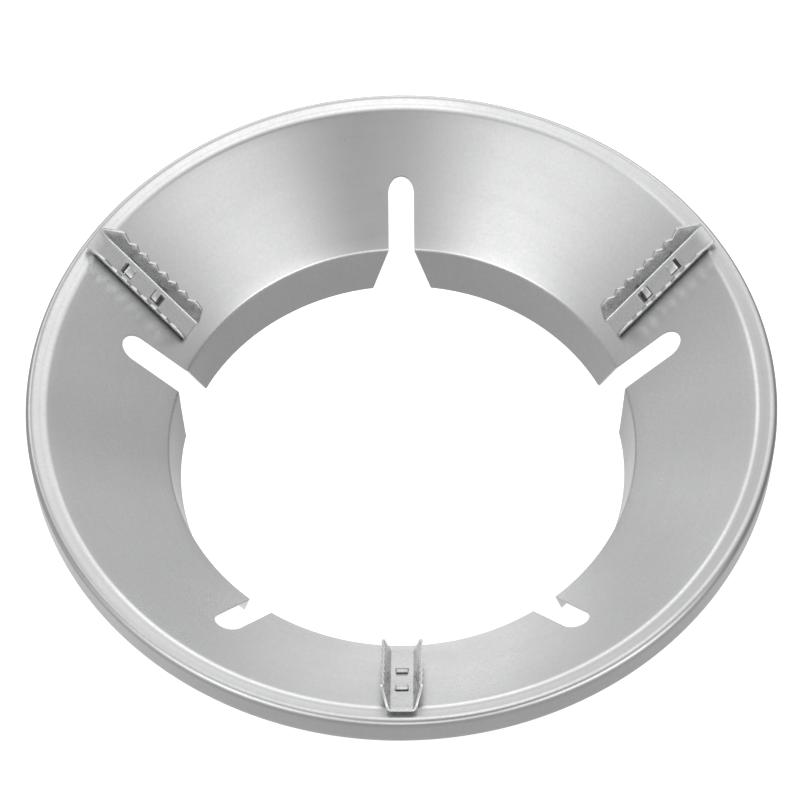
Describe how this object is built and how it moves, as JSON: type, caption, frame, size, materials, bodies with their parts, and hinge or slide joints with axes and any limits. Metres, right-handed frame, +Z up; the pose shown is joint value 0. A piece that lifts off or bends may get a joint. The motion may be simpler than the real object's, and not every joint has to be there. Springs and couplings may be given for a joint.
{
  "type": "gas stove windshield ring",
  "caption": "Funnel-shaped windshield ring for a gas hob, with a curled-down outer rim, slots for the hob's claws and serrated channel rests that carry the pan.",
  "frame": {"origin": "on the ring's axis, in the plane of the collar's lower edge, on which the ring stands", "axes": "+Z up along the ring's axis, -Y towards the front pan rest, +X to the right as in the picture"},
  "size_m": [0.24, 0.24, 0.0521],
  "materials": {
    "ring_steel": "satin",
    "rest_steel": "satin"
  },
  "bodies": {
    "root": {"ring": "ring_steel", "pot_rest_front": "rest_steel", "pot_rest_left": "rest_steel", "pot_rest_right": "rest_steel"}
  },
  "joints": []
}
